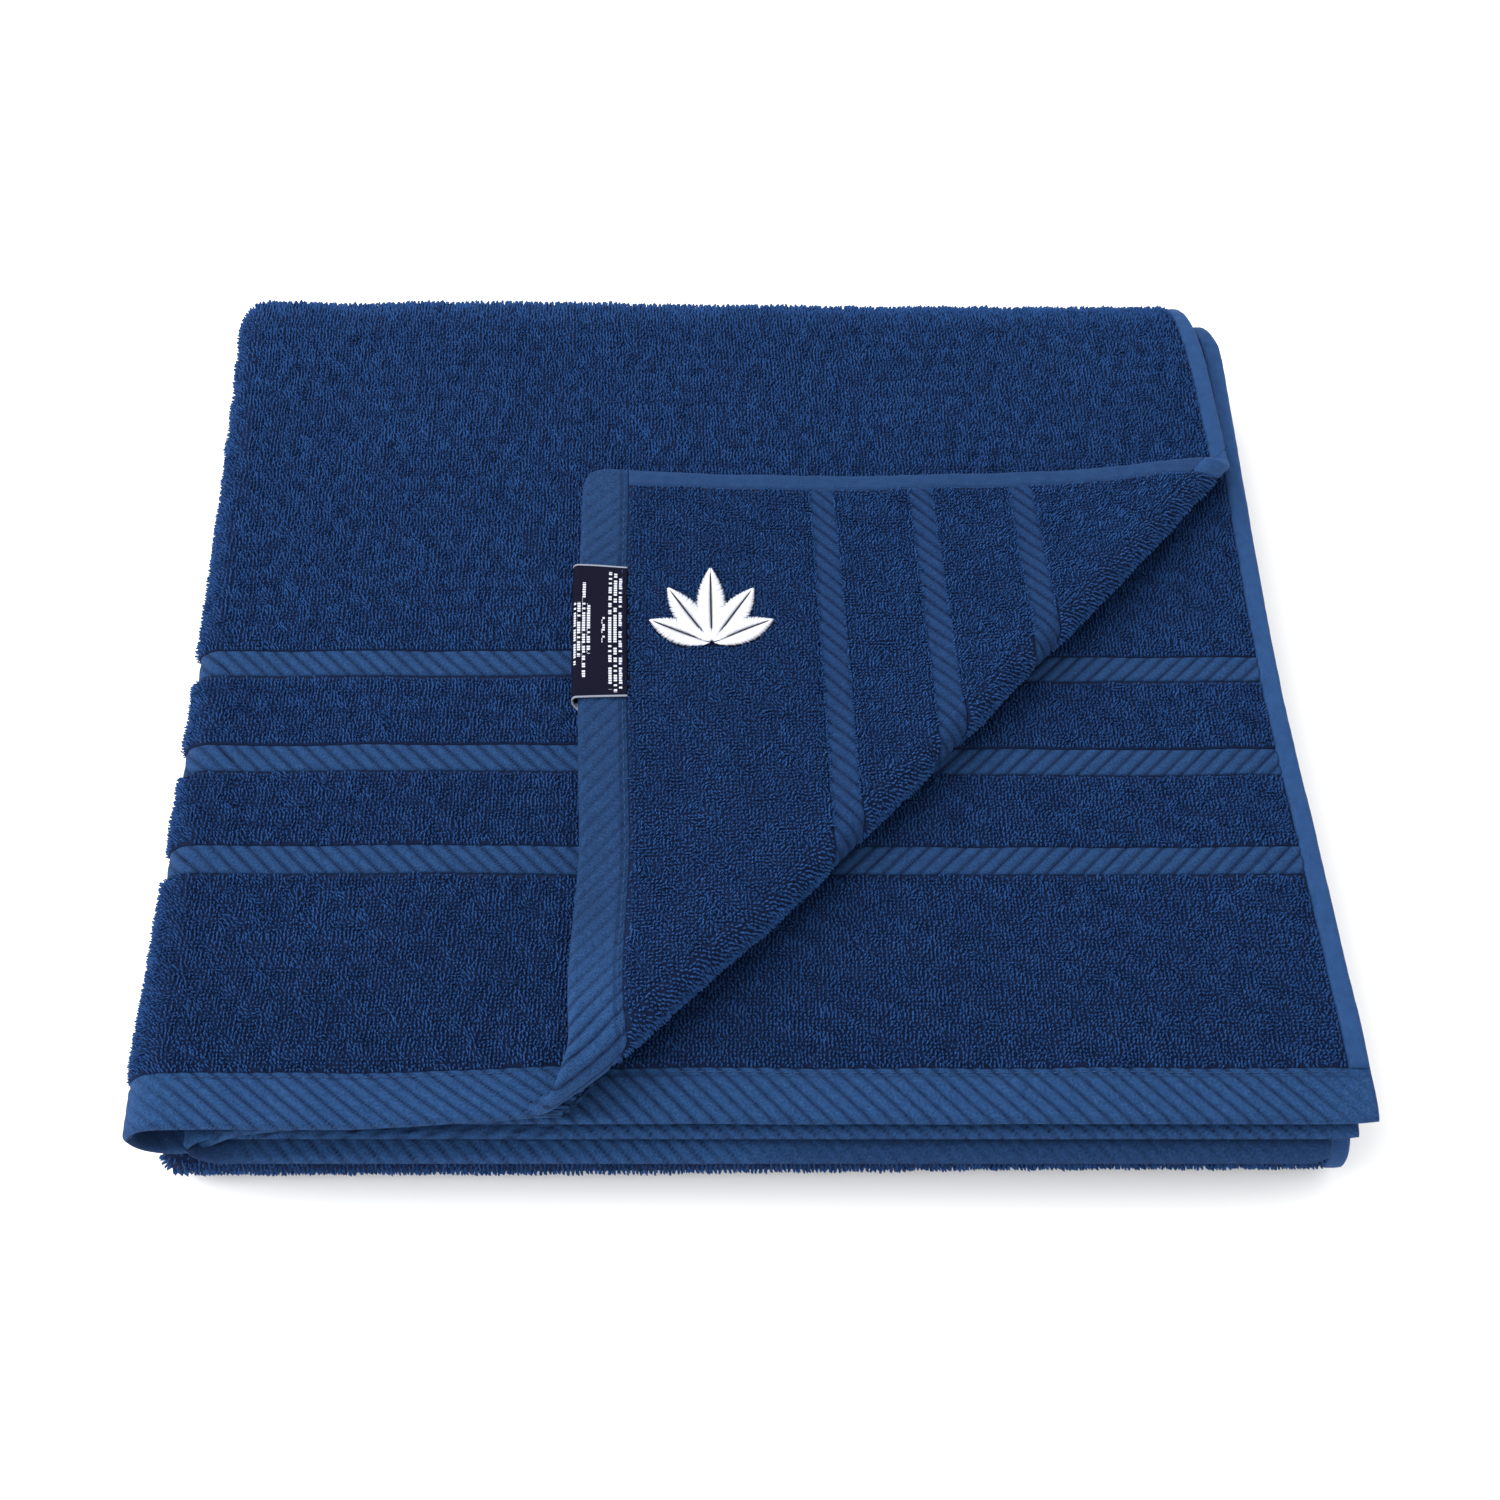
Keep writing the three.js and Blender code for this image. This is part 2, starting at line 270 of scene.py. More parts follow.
# Where the cloth eases off square: its own four corners are rounded; the turned corner's end hem sways to the left
# nearer the front (below each depth, over a length, by an amount), lifts, and its side hem bows; and the stack's back
# edge rises and moves back, and its lowest front fold moves forward, each more to the left.
CLOTH_ROUND, CLOTH_ROUND_REACH, FAR_CLOTH_ROUND = 2.2, 9, 0.3
HEM_SWAYS = ((250, 80, 1.4), (100, 60, 4.4), (26, 24, 6.2))
HEM_SWAY, HEM_SWAY_ALONG = 1.0, 88
HEM_LIFT, HEM_LIFT_AT, HEM_LIFT_WIDE = 1.5, 12, 48
SIDE_BOW, SIDE_BOW_ACROSS = 5, 90
SETTLE_GAP, SETTLE_OVER, LEVEL_OVER = 0.4, 34, 30
LUMPS = ((0.5, 90, 5), (0.25, 34, 6))
BACK_RISE, BACK_RISE_REACH, BACK_RISE_OVER = 1.6, 70, 60
BACK_SHIFT, BACK_SHIFT_REACH = 2.0, 30
FOOT_SHIFT, FOOT_HIGH, FOOT_REACH = 1.8, 26, 40


def soft_step(x):
    """0 below 0, 1 above 1, and a smooth S between them."""
    x = np.clip(x, 0, 1)
    return x * x * (3 - 2 * x)


WAVES = 14


def swell(a, b, length, seed):
    """A smooth random surface, mostly between -1 and 1: a sum of waves of about one length, in random directions."""
    rng = np.random.default_rng(seed)
    total = 0
    turns, phases, shares = (rng.uniform(*ends, WAVES) for ends in ((0, 2 * np.pi), (0, 2 * np.pi), (0.7, 1.5)))
    for turn, phase, share in zip(turns, phases, shares):
        total = total + np.cos((a * np.cos(turn) + b * np.sin(turn)) * 2 * np.pi * share / length + phase)
    return total / math.sqrt(WAVES)


def middle_line(s):
    """Side view of the doubled cloth's middle at a distance s along it: its place (back, up) and the unit normal that
    points to the outer ply. Straight runs joined by half circles, told apart by the distance reached."""
    y, z, out_y, out_z = (np.zeros_like(s) for _ in range(4))
    stretch = np.clip(np.searchsorted(REACHED, s, side="right") - 1, 0, 6)
    for i in range(4):
        here, way = stretch == 2 * i, 1 - 2 * (i % 2)
        y[here] = RUN_STARTS[i] + way * (s[here] - REACHED[2 * i])
        z[here], out_z[here] = RUNS[i], way
    turns = (BACK_CENTRE, 0.5, -1), (UNDER_CENTRE, -0.5, -1), (BACK_CENTRE, -0.5, 1)
    for i, (centre, first, way) in enumerate(turns):
        here = stretch == 2 * i + 1
        turn = np.pi * first + way * (s[here] - REACHED[2 * i + 1]) / TURNS[i]
        y[here] = centre + TURNS[i] * np.cos(turn)
        z[here] = (RUNS[i] + RUNS[i + 1]) / 2 + TURNS[i] * np.sin(turn)
        out_y[here], out_z[here] = -way * np.cos(turn), -way * np.sin(turn)
    return y, z, out_y, out_z


def doubled(across, along, rise):
    """The towel folded with no corner turned back: square coordinates (right, back, up) of the point at those
    distances, at a rise off the middle of its ply. Seen from the front the cloth is two level lines joined by a half
    ellipse at the left; the middle line carries that shape along."""
    inner = across > HALF_WIDE
    w = across - HALF_WIDE
    layer = soft_step((w + 12) / 24)
    s = along + (MIDDLE_LENGTH - TOWEL_LONG) * soft_step((along - EVEN_FROM) / (TOWEL_LONG - 2 * EVEN_FROM))
    first_end, last_end = 1 - soft_step(along / END_REACH), soft_step((along - TOWEL_LONG + END_REACH) / END_REACH)
    from_crease = layer * soft_step((w - 16) / 70)
    inner_back = FIRST_END_BACK[1] - FIRST_END_BACK[0] + FIRST_END_SLOPE
    first_back = FIRST_END_BACK[0] - FIRST_END_SLOPE * layer + from_crease * inner_back
    last_back = LAST_END_BACK[0] + layer * (LAST_END_BACK[1] - LAST_END_BACK[0])
    at = s + first_end * first_back - last_end * last_back
    crease, deep, droop = (np.interp(s, MARKS, row) for row in (CREASES, ROUNDS, DROOPS))
    edge = np.where(inner, np.interp(s, MARKS, INNER_EDGES), np.interp(s, MARKS, OUTER_EDGES))
    in_turn = np.exp(-((s - (REACHED[1] + REACHED[2]) / 2) / (STRETCHES[1] * 0.42)) ** 2)
    edge = edge - TURN_TUCK * in_turn * np.where(inner, 0.45, 1.0)
    half = HALF_PLY + droop / 2
    quarter = np.pi / 2 * np.sqrt((deep ** 2 + half ** 2) / 2)
    level = np.abs(w) >= quarter
    turn = np.clip(w / quarter, -1, 1) * np.pi / 2
    a_level = crease + deep + (np.abs(w) - quarter) * (edge - crease - deep) / (HALF_WIDE - quarter)
    sag = droop * (1 - soft_step((a_level - crease - deep) / DROOP_REACH))
    a = np.where(level, a_level, crease + deep * (1 - np.cos(turn)))
    n = np.where(level, np.where(inner, -HALF_PLY - sag, HALF_PLY), -droop / 2 - half * np.sin(turn))
    out_a = np.where(level, 0, -np.cos(turn) * half)
    out_n = np.where(level, np.where(inner, -1, 1), -np.sin(turn) * deep)
    size = np.hypot(out_a, out_n)
    a, n = a + out_a / size * rise, n + out_n / size * rise
    y, z, out_y, out_z = middle_line(at)
    first_drop = soft_step((DROP_REACH - along) / DROP_REACH) * np.where(inner, FIRST_END_DROP[1], FIRST_END_DROP[0])
    near_last = soft_step((DROP_REACH - TOWEL_LONG + along) / DROP_REACH)
    drop = first_drop + near_last * np.where(inner, LAST_END_DROP[1], LAST_END_DROP[0])
    return a, y + out_y * n, z + out_z * n - drop


def past_crease(a, b):
    """How far a place on the top ply lies past the start of the crease's round, how far along the crease it is, and
    where the round starts there. The crease slants, bows in its front half and splays in its back half."""
    past = ((a - CREASE_X) - (b - FRONT)) / math.sqrt(2)
    run = ((a - CREASE_X) + (b - FRONT)) / math.sqrt(2)
    share = np.clip(run / (CORNER_LEG * math.sqrt(2)), 0, 1)
    bow = CREASE_BOW * np.sin(np.pi * np.minimum(share, 0.5)) ** 0.7 + CREASE_SPLAY * soft_step(2 * share - 1)
    return past + bow + CREASE_ROLL, run, -bow - CREASE_ROLL


def towel(across, along, rise):
    """The folded towel with its corner turned back, as points in millimetres in the frame's axes. The cloth past the
    crease rolls over it and comes back on top: a half circle, then a level stretch that settles on the stack."""
    across, along, rise = (np.array(v, float) for v in np.broadcast_arrays(across, along, rise))
    side, end = np.minimum(across, TOWEL_WIDE - across), np.minimum(along, TOWEL_LONG - along)
    near_side, near_end = (np.clip(1 - away / CLOTH_ROUND_REACH, 0, 1) for away in (side, end))
    round_off = CLOTH_ROUND * (near_side * near_end) ** 1.5 * np.where(across < HALF_WIDE, 1.0, FAR_CLOTH_ROUND)
    across = across + round_off * np.sign(HALF_WIDE - across)
    along = along + round_off * np.sign(TOWEL_LONG / 2 - along)
    a, b, z = doubled(across, along, rise)
    flat_a, flat_b, flat_z = doubled(across, along, np.zeros_like(across))
    arc, run, start = past_crease(flat_a, flat_b)
    top_ply = across < HALF_WIDE - 40
    turned = top_ply & (along < CORNER_REACH) & (arc > 0)
    swing = np.clip(arc / CREASE_ROLL, 0, np.pi)
    beyond = np.maximum(arc - np.pi * CREASE_ROLL, 0)
    reach = CREASE_ROLL - rise
    new_past = start + reach * np.sin(swing) - beyond
    level = RUNS[0] + HALF_PLY
    settle = (2 * CREASE_ROLL - PLY - SETTLE_GAP) * soft_step(beyond / SETTLE_OVER)
    sunk = (level - flat_z) * (1 - soft_step(arc / LEVEL_OVER))
    new_z = level + CREASE_ROLL - reach * np.cos(swing) - settle - sunk
    new_a = CREASE_X + (run + new_past) / math.sqrt(2)
    new_b = FRONT + (run - new_past) / math.sqrt(2)
    near_hem, near_side = np.clip(1 - along / HEM_SWAY_ALONG, 0, 1), np.clip(1 - across / SIDE_BOW_ACROSS, 0, 1)
    depth = new_b - FRONT
    sway = HEM_SWAY
    for below, over, amount in HEM_SWAYS:
        sway = sway + amount * soft_step((below - depth) / over)
    new_a = new_a - sway * near_hem
    new_b = new_b - SIDE_BOW * np.sin(np.pi * np.clip(along / CORNER_LEG, 0, 1)) * near_side
    new_z = new_z + HEM_LIFT * np.exp(-((depth - HEM_LIFT_AT) / HEM_LIFT_WIDE) ** 2) * near_hem
    a, b, z = (np.where(turned, new, old) for new, old in ((new_a, a), (new_b, b), (new_z, z)))
    at_front = np.clip(1 - along / LIFT_ALONG, 0, 1) ** 1.5
    lift = np.exp(-((arc - LIFT_MIDDLE) / LIFT_WIDE) ** 2) * at_front * top_ply
    z, b = z + CREASE_LIFT * lift, b + LIFT_BACK * CREASE_LIFT * lift
    upper = soft_step((z - RUNS[3]) / (2 * PLY))
    z = z + upper * sum(high * swell(a, b, length, seed) for high, length, seed in LUMPS)
    to_left = soft_step((90 - a) / 160)
    z = z + BACK_RISE * upper * soft_step((b - BACK + BACK_RISE_REACH) / BACK_RISE_OVER) * to_left
    b = b + BACK_SHIFT * upper * soft_step((b - BACK + BACK_SHIFT_REACH) / BACK_SHIFT_REACH) * to_left
    at_foot = soft_step((FOOT_HIGH - z) / 8) * soft_step((FRONT + FOOT_REACH - b) / 30)
    b = b - FOOT_SHIFT * at_foot * soft_step((150 - a) / 250)
    return np.stack([a - b * math.sin(LEAN), b * math.cos(LEAN), z], -1)


def across_at(along, arc):
    """The distance across at which the top ply lies an arc past the start of the crease's round: a guess, moved again
    and again by a little more than what it misses by."""
    across = np.full_like(along, 200.0)
    for _ in range(16):
        a, b = doubled(across, along, 0 * along)[:2]
        across = across + (past_crease(a, b)[0] - arc) * 1.3
    return across


def piece_from(name, points, corners, material, places=None, painted_shades=None):
    """A mesh object in metres from points in millimetres and faces as rows of corner numbers. places, on the flat
    towel, become the map named cloth; the last argument, if given, says how much painted shade darkens each point."""
    mesh = bpy.data.meshes.new(name)
    mesh.vertices.add(len(points))
    mesh.vertices.foreach_set("co", (np.asarray(points) * MM).astype(np.float32).ravel())
    mesh.loops.add(corners.size)
    mesh.loops.foreach_set("vertex_index", corners.astype(np.int32).ravel())
    mesh.polygons.add(len(corners))
    mesh.polygons.foreach_set("loop_start", np.arange(0, corners.size, corners.shape[1], dtype=np.int32))
    mesh.polygons.foreach_set("use_smooth", np.ones(len(corners), bool))
    if places is not None:
        layer = mesh.uv_layers.new(name="cloth")
        layer.uv.foreach_set("vector", (np.asarray(places)[corners.ravel()] * MM).astype(np.float32).ravel())
    if painted_shades is not None:
        mesh.attributes.new("painted_shade", "FLOAT", "POINT").data.foreach_set("value", painted_shades.astype(np.float32).ravel())
    mesh.update(calc_edges=True)
    mesh.materials.append(material)
    made = bpy.data.objects.new(name, mesh)
    scene.collection.objects.link(made)
    return made


def grid_faces(rows, columns):
    """Quads of a grid whose points are numbered row by row."""
    first = np.arange((rows - 1) * columns).reshape(rows - 1, columns)[:, :-1]
    return np.stack([first, first + 1, first + columns + 1, first + columns], -1).reshape(-1, 4)


def steps(*stretches):
    """Distances from a list of (start, end, spacing), joined end to end."""
    parts = [np.linspace(a, b, max(int(round(abs(b - a) / gap)), 1) + 1)[:-1] for a, b, gap in stretches]
    return np.concatenate([*parts, [stretches[-1][1]]])


def closed(name, face, back, u, v, material, painted_shades=None):
    """A closed thin piece from two grids of points, its face and its back, joined round the rim, and its area on the
    flat towel, where u and v are its places."""
    rows, columns = u.shape
    face, back = face.reshape(-1, 3), back.reshape(-1, 3)
    count = len(face)
    quads = grid_faces(rows, columns)
    rim = np.concatenate([np.arange(columns), np.arange(1, rows) * columns + columns - 1,
                          (rows - 1) * columns + np.arange(columns - 2, -1, -1),
                          np.arange(rows - 2, 0, -1) * columns])
    after = np.roll(rim, -1)
    corners = np.concatenate([quads[:, ::-1], quads + count, np.stack([rim, after, after + count, rim + count], -1)])
    places = np.tile(np.stack([u, v], -1).reshape(-1, 2), (2, 1))
    made = piece_from(name, np.concatenate([face, back]), corners, material, places, painted_shades)
    flat = places[quads]
    turn = flat - np.roll(flat, -1, axis=1)
    middle = flat + np.roll(flat, -1, axis=1)
    return made, abs(float((turn[..., 1] * middle[..., 0]).sum())) / 2


SHEET_LEAST = 10


def lay(made, part, node=None):
    """Hides the model's part if one is named, and gives the piece its body. One on the crease's round gets no body:
    its place is applied to its points."""
    if node:
        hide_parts(node)
    if part == "roll":
        level = (RUNS[0] + HALF_PLY) * MM
        level + 2 * CREASE_ROLL * MM
        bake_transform(made)
    else:
        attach(made, "corner" if part == "corner" else "stack")


def zone(node, part, across, along, gap, heights, cloth, turn_gap=1.6):
    """One stretch of the towel as a piece: the part of a rectangle on the flat towel that stays in the stack, rolls
    over the turned corner's crease, or lies on top as the corner. Rows run across, each from its own start, and are
    closer together round the long crease. heights gives how far the face and the back stand off the ply's middle, and
    cloth is a material and its slot."""
    material, slot = cloth
    name, node = (f"{node}_roll", None) if part == "roll" else (f"{node}_cloth", node)
    v = steps(along) if isinstance(along, tuple) else steps(*along)
    low, high = (np.full_like(v, value) for value in across)
    if part != "whole":
        start, end = (np.where(v < CORNER_REACH, across_at(v, arc), 0) for arc in (0, math.pi * CREASE_ROLL))
        low = {"stack": np.clip(start, *across), "roll": np.clip(end, *across), "corner": low}[part]
        high = {"stack": high, "roll": np.clip(start, *across), "corner": np.clip(end, *across)}[part]
    kept = high - low > 0.5
    v, low, high = v[kept], low[kept], high[kept]
    near, far = HALF_WIDE - 22, HALF_WIDE + 24
    if part in ("stack", "whole") and across[1] > far and across[0] < near:
        columns = steps((across[0], near, gap), (near, far, turn_gap), (far, HALF_WIDE + 120, 4 * gap),
                        (HALF_WIDE + 120, across[1], gap))
        share = (columns - across[0]) / (near - across[0])
        u = np.where(columns < near, low[:, None] + share * (near - low[:, None]), columns)
    else:
        count = max(int(round((high - low).max() / gap)), 2) + 1
        u = low[:, None] + (high - low)[:, None] * np.linspace(0, 1, count)
    v = np.broadcast_to(v[:, None], u.shape)
    face, back, *painted_shades = heights(u, v)
    made, area = closed(name, towel(u, v, face), towel(u, v, -back), u, v, material,
                        np.stack(painted_shades) if painted_shades else None)
    wide, long = np.ptp(u), np.ptp(v)
    name == "terry_field_cloth" or part == "roll" or min(wide, long) < SHEET_LEAST
    lay(made, part, node)


weave = Finish("terry_ground", Roughness=0.95, Specular_IOR_Level=0.15)
# The ground's colour is the towel's navy painted darker than the loops' yarn, as painted shade in the gaps between
# loops.
ground_colour_with_painted_shade = weave.mix(weave.noise(weave.place(), 900.0), (5, 16, 40), (12, 30, 64))
GROUND_CLOTH = weave.finish(ground_colour_with_painted_shade, weave.noise(weave.place(), 1400.0)), "terry"


def ground_heights(u, v):
    """The ground's face and back stand the same height off the middle of the ply everywhere."""
    return np.full_like(u, GROUND), np.full_like(u, GROUND)


FIELD_ALONG = [(FIELD_START, 300, 6.0), (300, 410, 3.2), (410, 620, 9.0), (620, 740, 2.2), (740, 970, 9.0),
               (970, 1080, 2.2), (1080, TOWEL_LONG - FIELD_START, 6.0)]
FIELD_ACROSS = (SIDE_HEM, TOWEL_WIDE - SIDE_HEM)
zone("terry_field", "stack", FIELD_ACROSS, FIELD_ALONG, 8.0, ground_heights, GROUND_CLOTH)
zone("terry_field", "roll", FIELD_ACROSS, (FIELD_START, CORNER_REACH, 1.6), 1.2, ground_heights, GROUND_CLOTH)
zone("corner_terry_field", "corner", FIELD_ACROSS, (FIELD_START, CORNER_REACH, 1.6), 3.0, ground_heights, GROUND_CLOTH)

# Pile strips: the same terry ground between the end hem and the bands. Each is doubled round the long crease at the
# left, and those on top run over the turned corner as well.
STRIP_STARTS = [END_HEM] + [start + BAND for start in BAND_STARTS[:-1]]
for i, (start, end) in enumerate(zip(STRIP_STARTS, BAND_STARTS), 1):
    strip, far_ends = f"pile_strip_{i}", (TOWEL_LONG - end, TOWEL_LONG - start)
    zone(f"{strip}_upper", "stack", FIELD_ACROSS, (start, end, 4.0), 5.0, ground_heights, GROUND_CLOTH)
    zone(f"{strip}_lower", "whole", FIELD_ACROSS, (*far_ends, 4.0), 5.0, ground_heights, GROUND_CLOTH)
    zone(strip, "roll", FIELD_ACROSS, (start, end, 2.5), 1.2, ground_heights, GROUND_CLOTH)
    zone(f"corner_{strip}", "corner", FIELD_ACROSS, (start, end, 3.0), 4.0, ground_heights, GROUND_CLOTH)

# Flat woven bands: three strips with no pile, woven as thick slanted cords with a fine cross yarn. They lie lower than
# the loops on both sides of them.
CORD_PITCH = 5.9
CORD_HEIGHT = 1.2
BAND_BODY = 1.0
BAND_ROUND = 1.6
BAND_EDGE_SHADE = 0.9
BAND_PRESSED, PRESSED_REACH = 0.6, 9


def cords(phase):
    """Rounded cords with narrow valleys between them: the size of a cosine, to a power below one. Then how deep in a
    valley the place is, from 0 to 1, which sets how much painted shade darkens it."""
    size = np.abs(np.cos(np.pi * (phase + 0.25 * swell(phase, 0, 40, 8)) / CORD_PITCH))
    return size ** 0.5, (1 - size) ** 2.4


def rounded(distance, radius):
    """How high a rounded edge has risen at a distance in from it, as a share of its full height: a quarter circle."""
    return np.sqrt(1 - (1 - np.clip(distance / radius, 0, 1)) ** 2)


def band_heights(start):
    """A band's cords on its body, rounded off along both edges and pressed thin where the long crease bends them. Its
    painted shade deepens in the valleys between cords and along both edges, where the band dips under the pile.
    """
    def heights(u, v):
        edge, shaded = (rounded(v - start, r) * rounded(start + BAND - v, r) for r in (BAND_ROUND, BAND_EDGE_SHADE))
        cord, painted_shade = cords(v - u)
        pressed = 1 - BAND_PRESSED * np.exp(-((u - HALF_WIDE) / PRESSED_REACH) ** 2)
        height = (BAND_BODY + CORD_HEIGHT * cord * edge) * pressed
        # Painted shade: the colour darkens along both edges of the band, where it dips under the pile.
        painted_shade = np.maximum(painted_shade, 1 - shaded)
        return height, height, painted_shade, painted_shade
    return heights


def cord_weave(name, dark, light, painted_shade_colour, corner_colours=None):
    """Flat-woven cotton: fine yarns that cross each other, about one to a millimetre, a soft unevenness from place to
    place, and painted shade that darkens the valleys between cords and other shaded places. The turned corner's share
    of the cloth may have colours of its own."""
    cotton = Finish(name, Roughness=0.9, **COTTON)
    across, along = cotton.cloth()
    yarn = (across + along).wave(0.00078) * 0.65 + (across - along).wave(0.0011) * 0.35
    grain = (cotton.noise(cotton.place(), 1500.0) - 0.5) * 3.2 + 0.5
    uneven = cotton.noise(cotton.place(), 260.0) * 0.3 + grain * 0.45 + yarn * 0.25
    # The attribute read here is painted shade: how far the colour darkens in the valleys between cords, along the
    # bands' edges, at the hems' inner fold and in the long crease.
    painted_shade = cotton.node("ShaderNodeAttribute", {"attribute_name": "painted_shade"}, output=2)
    top = cotton.mix(uneven, dark, light)
    # On the turned corner the top colour eases into darker colours of its own.
    if corner_colours:
        turned = (TURNED_UNTIL - across) * TURNED_BLEND
        top = cotton.mix(turned, top, cotton.mix(uneven, *corner_colours))
    return cotton.finish(cotton.mix(painted_shade, top, painted_shade_colour), yarn, 0.6, 0.0003)


SHEEN = (0.12, 0.3, 0.8, 1)
COTTON = {"Sheen_Weight": 0.12, "Sheen_Roughness": 0.5, "Sheen_Tint": SHEEN, "Specular_IOR_Level": 0.12}
TURNED_UNTIL, TURNED_BLEND = 0.205, 30.0
BAND_CLOTH = cord_weave("band_cloth", (10, 31, 65), (37, 71, 114), (4, 15, 40)), "band"
CORNER_BAND_CLOTH = cord_weave("corner_band_cloth", (8, 28, 60), (30, 62, 105), (5, 18, 46)), "band"
for i, start in enumerate(BAND_STARTS, 1):
    band, far_start = f"flat_band_{i}", TOWEL_LONG - start - BAND
    near, far = band_heights(start), band_heights(far_start)
    ends = (start, start + BAND, 0.8)
    zone(f"{band}_upper", "stack", FIELD_ACROSS, ends, 0.8, near, BAND_CLOTH, 0.8)
    zone(f"{band}_lower", "whole", FIELD_ACROSS, (far_start, far_start + BAND, 1.6), 2.4, far, BAND_CLOTH)
    zone(band, "roll", FIELD_ACROSS, ends, 0.8, near, CORNER_BAND_CLOTH)
    zone(f"corner_{band}", "corner", FIELD_ACROSS, ends, 0.8, near, CORNER_BAND_CLOTH)

# End hems: the corded cloth at each short end, turned under twice and sewn down, so its two sides slant opposite ways.
# The cords flatten towards the corners and at the long crease.
HEM_BODY = 1.4
HEM_CORD = 1.0
HEM_LEAST = 0.15
FACE_SLANT = 1.3
SEAM_IN, SEAM_WIDE, SEAM_DEEP = 1.6, 0.8, 0.35
FOLD_IN, FOLD_WIDE, FOLD_SHADE = 3.0, 0.35, 0.5
CREASE_SHADE, CREASE_SHADE_WIDE = 0.75, 22


def hem_heights(from_end, way):
    """A hem's cords on its body, rounded at its edges and ends and drawn in along its seam. Its back is worn smoother
    on the turned corner. Painted shade darkens the valleys between cords, and the back along the inner fold and in the
    long crease."""
    def heights(u, v):
        distance = from_end(v)
        fade = soft_step((u - 3) / 20) * soft_step((TOWEL_WIDE - 3 - u) / 20) * soft_step((abs(u - HALF_WIDE) - 4) / 26)
        edge = rounded(distance, 2.3) * (0.55 + 0.45 * rounded(END_HEM - distance, 1.4))
        side = rounded(u + 0.2, 2.0) * rounded(TOWEL_WIDE + 0.2 - u, 2.0)
        drawn_in = 1 - SEAM_DEEP * np.exp(-((distance - END_HEM + SEAM_IN) / SEAM_WIDE) ** 2)
        body = HEM_BODY * edge * side * drawn_in + HEM_LEAST
        cord = HEM_CORD * edge * side * drawn_in * (0.25 + 0.75 * fade)
        face, face_groove = cords(FACE_SLANT * way * distance - u)
        back, back_groove = cords(way * distance + u)
        deep = 0.3 + 0.7 * fade
        worn = 0.45 + 0.55 * soft_step((u - 185) / 30)
        # Painted shade on the back: a dark line along the hem's inner fold, and darkening inside the long crease.
        inner_fold = FOLD_SHADE * np.exp(-((distance - END_HEM + FOLD_IN) / FOLD_WIDE) ** 2)
        in_crease = CREASE_SHADE * np.exp(-((u - HALF_WIDE) / CREASE_SHADE_WIDE) ** 2)
        back_shade = np.maximum(back_groove * deep * worn, np.maximum(inner_fold, in_crease))
        return body + cord * face, body + cord * back * worn, face_groove * deep, back_shade
    return heights


HEM_CLOTH = cord_weave("hem_cloth", (11, 34, 69), (41, 77, 122), (6, 18, 44), ((8, 27, 57), (34, 65, 106))), "hem"
WHOLE, TOP_HEM = (0.0, TOWEL_WIDE), (0, END_HEM, 0.7)
top_hem, far_hem = hem_heights(lambda v: v, 1), hem_heights(lambda v: TOWEL_LONG - v, -1)
zone("end_hem_upper", "stack", WHOLE, TOP_HEM, 0.6, top_hem, HEM_CLOTH, 0.6)
zone("end_hem", "roll", WHOLE, TOP_HEM, 0.6, top_hem, HEM_CLOTH)
zone("corner_end_hem", "corner", WHOLE, TOP_HEM, 0.6, top_hem, HEM_CLOTH)
zone("end_hem_lower", "whole", WHOLE, (TOWEL_LONG - END_HEM, TOWEL_LONG, 1.0), 0.9, far_hem, HEM_CLOTH, 0.9)

# Side hems: narrow flat turnings in plain weave along both long sides, from one end hem to the other.
SIDE_BODY = 1.9


def side_heights(from_side):
    """A narrow flat turning, rounded at the towel's edge and a little uneven along it."""
    def heights(u, v):
        distance = from_side(u)
        height = SIDE_BODY * rounded(distance + 0.1, 2.0) * (0.6 + 0.4 * rounded(SIDE_HEM - distance, 1.2)) + 0.15
        height = height + 0.12 * swell(v, distance * 3, 7, 9)
        return height, height
    return heights


def plain_weave(name, dark, light):
    """Plain-woven cotton: square yarns 0.6 to 0.7 mm apart."""
    cotton = Finish(name, Roughness=0.85, **COTTON)
    across, along = cotton.cloth()
    yarns = across.wave(0.0007) * along.wave(0.0006)
    uneven = cotton.noise(cotton.place(), 300.0) * 0.6 + yarns * 0.4
    return cotton.finish(cotton.mix(uneven, dark, light), yarns, 0.6, 0.0003)


SIDE_CLOTH = plain_weave("side_hem_cloth", (25, 52, 92), (43, 79, 126)), "hem"
CORNER_SIDE_CLOTH = plain_weave("corner_side_hem_cloth", (19, 42, 77), (34, 65, 106)), "hem"
SIDE_ALONG = [(END_HEM, 300, 1.6), (300, 410, 1.8), (410, 620, 4.0), (620, 740, 1.8), (740, 970, 4.0),
              (970, 1080, 1.8), (1080, TOWEL_LONG - END_HEM, 3.0)]
SIDE_ACROSS, CORNER_SIDE_ACROSS = (0.0, SIDE_HEM), (0.0, SIDE_HEM + 1.2)
outer, inner = side_heights(lambda u: u), side_heights(lambda u: TOWEL_WIDE - u)
zone("side_hem_outer", "stack", SIDE_ACROSS, SIDE_ALONG, 0.8, outer, SIDE_CLOTH)
zone("side_hem", "roll", SIDE_ACROSS, (END_HEM, CORNER_REACH, 0.8), 0.8, outer, SIDE_CLOTH)
zone("corner_side_hem", "corner", CORNER_SIDE_ACROSS, (END_HEM, CORNER_REACH, 1.2), 0.8, outer, CORNER_SIDE_CLOTH)
zone("side_hem_inner", "whole", (TOWEL_WIDE - SIDE_HEM, TOWEL_WIDE), SIDE_ALONG, 0.8, inner, SIDE_CLOTH)

